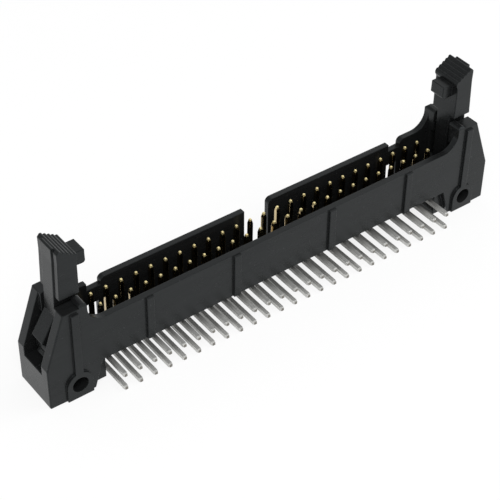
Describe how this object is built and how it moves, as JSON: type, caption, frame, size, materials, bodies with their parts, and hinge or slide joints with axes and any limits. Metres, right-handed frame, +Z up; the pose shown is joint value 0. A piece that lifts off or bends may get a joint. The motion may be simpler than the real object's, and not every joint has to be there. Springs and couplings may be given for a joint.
{
  "type": "circuit board header",
  "caption": "Long right-angle shrouded pin header for a circuit board, with an upright ejector latch pivoted between two plates at each end.",
  "frame": {"origin": "on the mating axis, midway between the two contact rows and between the two ends, in the plane of the end feet", "axes": "+X along the contact rows towards the right-hand end, -Y towards the board that the tails go through, +Z up, the way the plug leaves"},
  "size_m": [0.0824, 0.0113, 0.0259],
  "materials": {
    "housing_plastic": "black glass-filled moulding, satin",
    "latch_plastic": "black moulding, satin",
    "plated_contact": "gold plating on the mating points, bright tin on the tails"
  },
  "bodies": {
    "header": {"housing": "housing_plastic", "contact_front_01": "plated_contact", "contact_front_02": "plated_contact", "contact_front_03": "plated_contact", "contact_front_04": "plated_contact", "contact_front_05": "plated_contact", "contact_front_06": "plated_contact", "contact_front_07": "plated_contact", "contact_front_08": "plated_contact", "contact_front_09": "plated_contact", "contact_front_10": "plated_contact", "contact_front_11": "plated_contact", "contact_front_12": "plated_contact", "contact_front_13": "plated_contact", "contact_front_14": "plated_contact", "contact_front_15": "plated_contact", "contact_front_16": "plated_contact", "contact_front_17": "plated_contact", "contact_front_18": "plated_contact", "contact_front_19": "plated_contact", "contact_front_20": "plated_contact", "contact_front_21": "plated_contact", "contact_front_22": "plated_contact", "contact_front_23": "plated_contact", "contact_front_24": "plated_contact", "contact_front_25": "plated_contact", "contact_back_01": "plated_contact", "contact_back_02": "plated_contact", "contact_back_03": "plated_contact", "contact_back_04": "plated_contact", "contact_back_05": "plated_contact", "contact_back_06": "plated_contact", "contact_back_07": "plated_contact", "contact_back_08": "plated_contact", "contact_back_09": "plated_contact", "contact_back_10": "plated_contact", "contact_back_11": "plated_contact", "contact_back_12": "plated_contact", "contact_back_13": "plated_contact", "contact_back_14": "plated_contact", "contact_back_15": "plated_contact", "contact_back_16": "plated_contact", "contact_back_17": "plated_contact", "contact_back_18": "plated_contact", "contact_back_19": "plated_contact", "contact_back_20": "plated_contact", "contact_back_21": "plated_contact", "contact_back_22": "plated_contact", "contact_back_23": "plated_contact", "contact_back_24": "plated_contact", "contact_back_25": "plated_contact"},
    "left_latch": {"latch_left": "latch_plastic"},
    "right_latch": {"latch_right": "latch_plastic"}
  },
  "joints": [
    {"name": "left_latch_pivot", "type": "hinge", "parent": "header", "child": "left_latch", "pos_m": [-0.0379, 0, 0.0074], "axis": [0, -1, 0], "range_deg": [0, 35]},
    {"name": "right_latch_pivot", "type": "hinge", "parent": "header", "child": "right_latch", "pos_m": [0.0379, 0, 0.0074], "axis": [0, 1, 0], "range_deg": [0, 35]}
  ]
}
